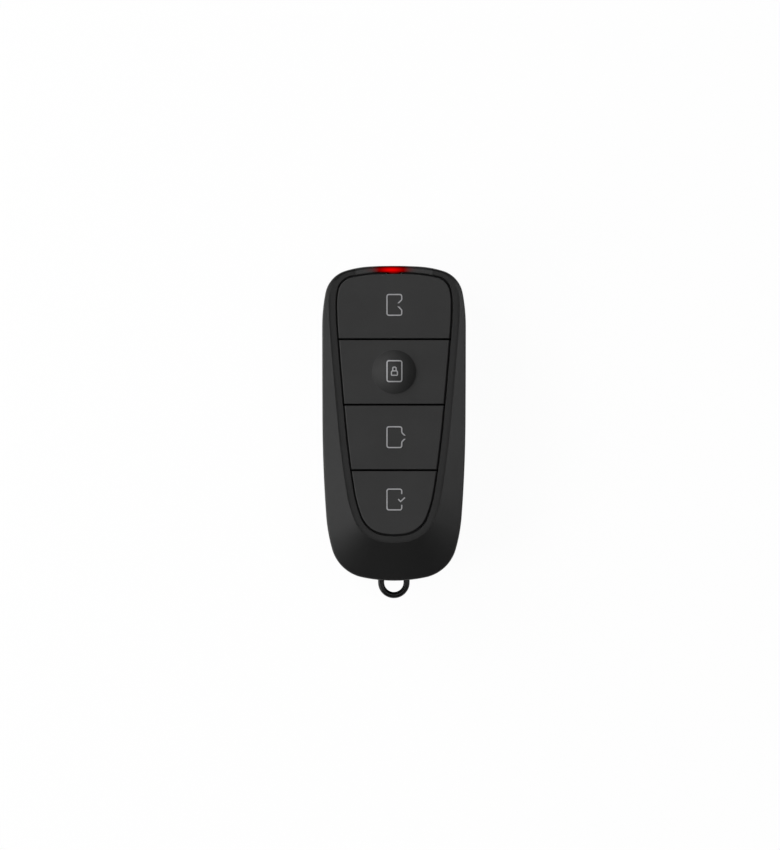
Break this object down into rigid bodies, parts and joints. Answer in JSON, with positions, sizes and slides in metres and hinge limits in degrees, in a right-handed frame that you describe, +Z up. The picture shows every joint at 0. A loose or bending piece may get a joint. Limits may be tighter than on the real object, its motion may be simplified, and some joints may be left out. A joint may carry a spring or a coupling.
{
  "type": "turnstile remote control",
  "caption": "Slim key-fob remote for a turnstile: tapered field of pictogram keys in a flat rim, a raised dome on the lock key, red signal window at the end and a keyring loop.",
  "frame": {"origin": "under the middle of the whole length, on the flat back that the fob lies on", "axes": "+Z up out of the keys, +Y towards the signal lamp end, +X to the right seen from above; the keyring loop points to -Y"},
  "size_m": [0.033, 0.0766, 0.0133],
  "materials": {
    "case": "fine satin texture",
    "keys": "smooth satin",
    "light_guide": "smoked translucent, glows red when the lamp is lit",
    "loop": "gloss black",
    "mat": "matte silicone",
    "board": "solder mask over glass epoxy",
    "switch_plastic": "moulded",
    "switch_plunger": "moulded",
    "steel": "plain",
    "lamp": "clear resin",
    "holder": "moulded",
    "copper": "tinned copper",
    "contact": "gold plated",
    "chip": "moulded epoxy",
    "ceramic": "plain",
    "screws": "black zinc"
  },
  "bodies": {
    "case": {"top_shell": "case", "rear_shell": "case", "light_guide": "light_guide", "keyring_loop": "loop", "keypad_membrane": "mat", "circuit_board": "board", "aerial_strip": "copper", "status_led": "lamp", "battery_cell": "steel", "battery_holder": "holder", "battery_positive_clip": "steel", "battery_negative_contact": "contact", "controller_chip": "chip", "radio_chip": "chip", "crystal": "steel", "chip_parts": "ceramic", "case_screws": "screws", "board_screws": "steel", "switch_base_entry": "switch_plastic", "switch_cover_entry": "steel", "switch_dome_entry": "steel", "switch_base_lock": "switch_plastic", "switch_cover_lock": "steel", "switch_dome_lock": "steel", "switch_base_exit": "switch_plastic", "switch_cover_exit": "steel", "switch_dome_exit": "steel", "switch_base_confirm": "switch_plastic", "switch_cover_confirm": "steel", "switch_dome_confirm": "steel"},
    "entry_key": {"key_entry": "keys"},
    "entry_plunger": {"switch_plunger_entry": "switch_plunger"},
    "lock_key": {"key_lock": "keys"},
    "lock_plunger": {"switch_plunger_lock": "switch_plunger"},
    "exit_key": {"key_exit": "keys"},
    "exit_plunger": {"switch_plunger_exit": "switch_plunger"},
    "confirm_key": {"key_confirm": "keys"},
    "confirm_plunger": {"switch_plunger_confirm": "switch_plunger"}
  },
  "joints": [
    {"name": "entry_press", "type": "slide", "parent": "case", "child": "entry_key", "axis": [0, 0, -1], "range_m": [0, 0.0003], "stiffness_N_per_m": 1500, "deforming": ["keypad_membrane"]},
    {"name": "entry_plunge", "type": "slide", "parent": "case", "child": "entry_plunger", "axis": [0, 0, -1], "range_m": [0, 0.0003], "deforming": ["switch_dome_entry"]},
    {"name": "lock_press", "type": "slide", "parent": "case", "child": "lock_key", "axis": [0, 0, -1], "range_m": [0, 0.0003], "stiffness_N_per_m": 1500, "deforming": ["keypad_membrane"]},
    {"name": "lock_plunge", "type": "slide", "parent": "case", "child": "lock_plunger", "axis": [0, 0, -1], "range_m": [0, 0.0003], "deforming": ["switch_dome_lock"]},
    {"name": "exit_press", "type": "slide", "parent": "case", "child": "exit_key", "axis": [0, 0, -1], "range_m": [0, 0.0003], "stiffness_N_per_m": 1500, "deforming": ["keypad_membrane"]},
    {"name": "exit_plunge", "type": "slide", "parent": "case", "child": "exit_plunger", "axis": [0, 0, -1], "range_m": [0, 0.0003], "deforming": ["switch_dome_exit"]},
    {"name": "confirm_press", "type": "slide", "parent": "case", "child": "confirm_key", "axis": [0, 0, -1], "range_m": [0, 0.0003], "stiffness_N_per_m": 1500, "deforming": ["keypad_membrane"]},
    {"name": "confirm_plunge", "type": "slide", "parent": "case", "child": "confirm_plunger", "axis": [0, 0, -1], "range_m": [0, 0.0003], "deforming": ["switch_dome_confirm"]}
  ],
  "couplings": [
    {"joint": "entry_plunge", "follows": "entry_press", "ratio": 1},
    {"joint": "lock_plunge", "follows": "lock_press", "ratio": 1},
    {"joint": "exit_plunge", "follows": "exit_press", "ratio": 1},
    {"joint": "confirm_plunge", "follows": "confirm_press", "ratio": 1}
  ]
}
